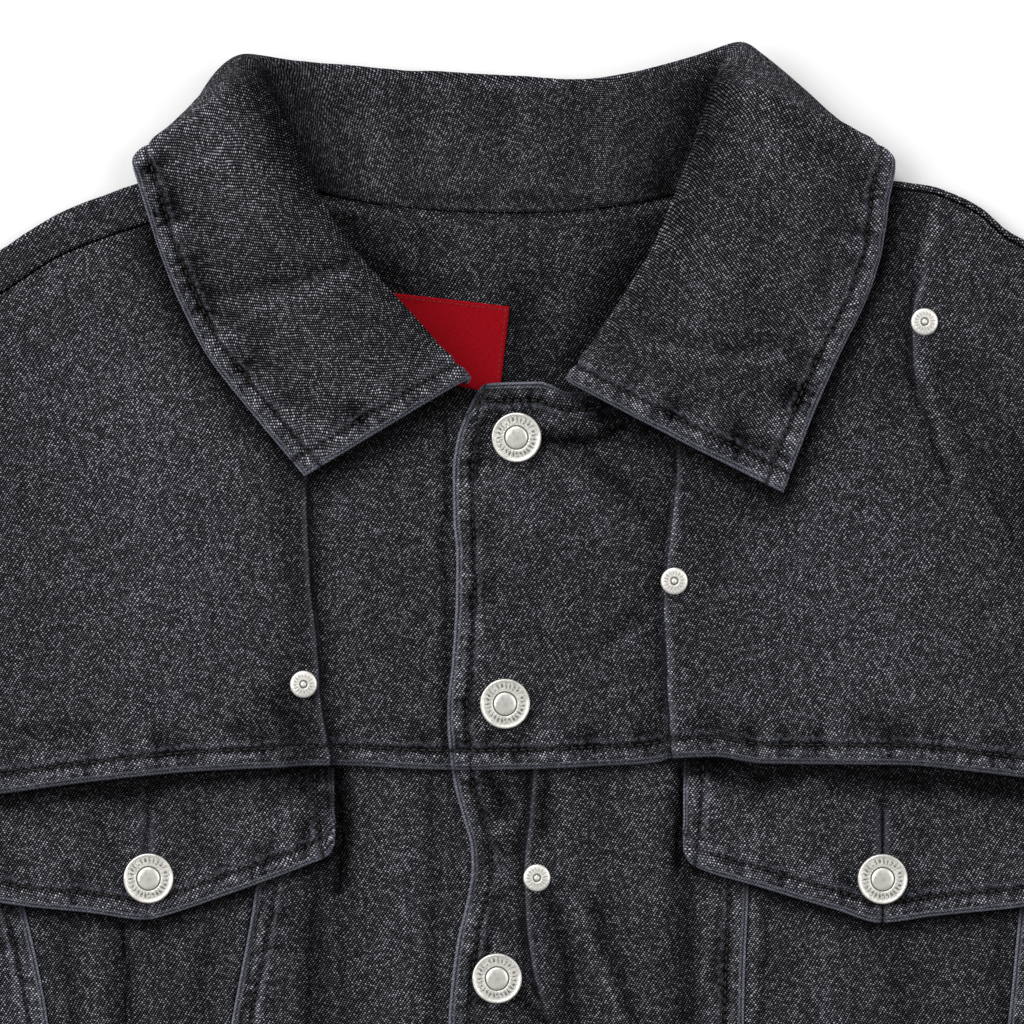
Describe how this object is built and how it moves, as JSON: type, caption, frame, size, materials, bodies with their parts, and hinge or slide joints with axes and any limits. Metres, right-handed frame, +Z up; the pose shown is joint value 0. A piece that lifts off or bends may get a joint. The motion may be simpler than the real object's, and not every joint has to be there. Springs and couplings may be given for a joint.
{
  "type": "denim jacket laid flat",
  "caption": "Washed black denim jacket of the trucker cut, buttoned up and laid flat on its back, with an open turn-down collar, flap pockets, riveted tucks, waistband and cuffs.",
  "frame": {"origin": "middle of the laid-out jacket's bounding box, on the surface that it lies on", "axes": "+X towards the wearer's left sleeve, +Y from the hem towards the collar, +Z up off the table, out of the jacket's front"},
  "size_m": [1.3442, 0.6218, 0.0276],
  "materials": {
    "denim": "washed black twill",
    "label_satin": "woven satin",
    "nickel": "antique nickel"
  },
  "bodies": {
    "root": {"back_yoke": "denim", "back_panel": "denim", "front_yoke_right": "denim", "front_yoke_left": "denim", "front_side_right": "denim", "front_pocket_right": "denim", "front_centre_right": "denim", "front_centre_left": "denim", "front_pocket_left": "denim", "front_side_left": "denim", "pocket_flap_right": "denim", "pocket_flap_left": "denim", "waistband": "denim", "sleeve_upper_right": "denim", "sleeve_under_right": "denim", "sleeve_upper_left": "denim", "sleeve_under_left": "denim", "cuff_right": "denim", "cuff_left": "denim", "collar": "denim", "neck_label": "label_satin", "front_button_1": "nickel", "front_button_2": "nickel", "front_button_3": "nickel", "front_button_4": "nickel", "front_button_5": "nickel", "front_button_6": "nickel", "flap_button_right": "nickel", "flap_button_left": "nickel", "cuff_button_right": "nickel", "cuff_button_left": "nickel", "rivet_yoke_right": "nickel", "rivet_yoke_left": "nickel", "rivet_shoulder_left": "nickel", "rivet_front_left": "nickel"}
  },
  "joints": []
}
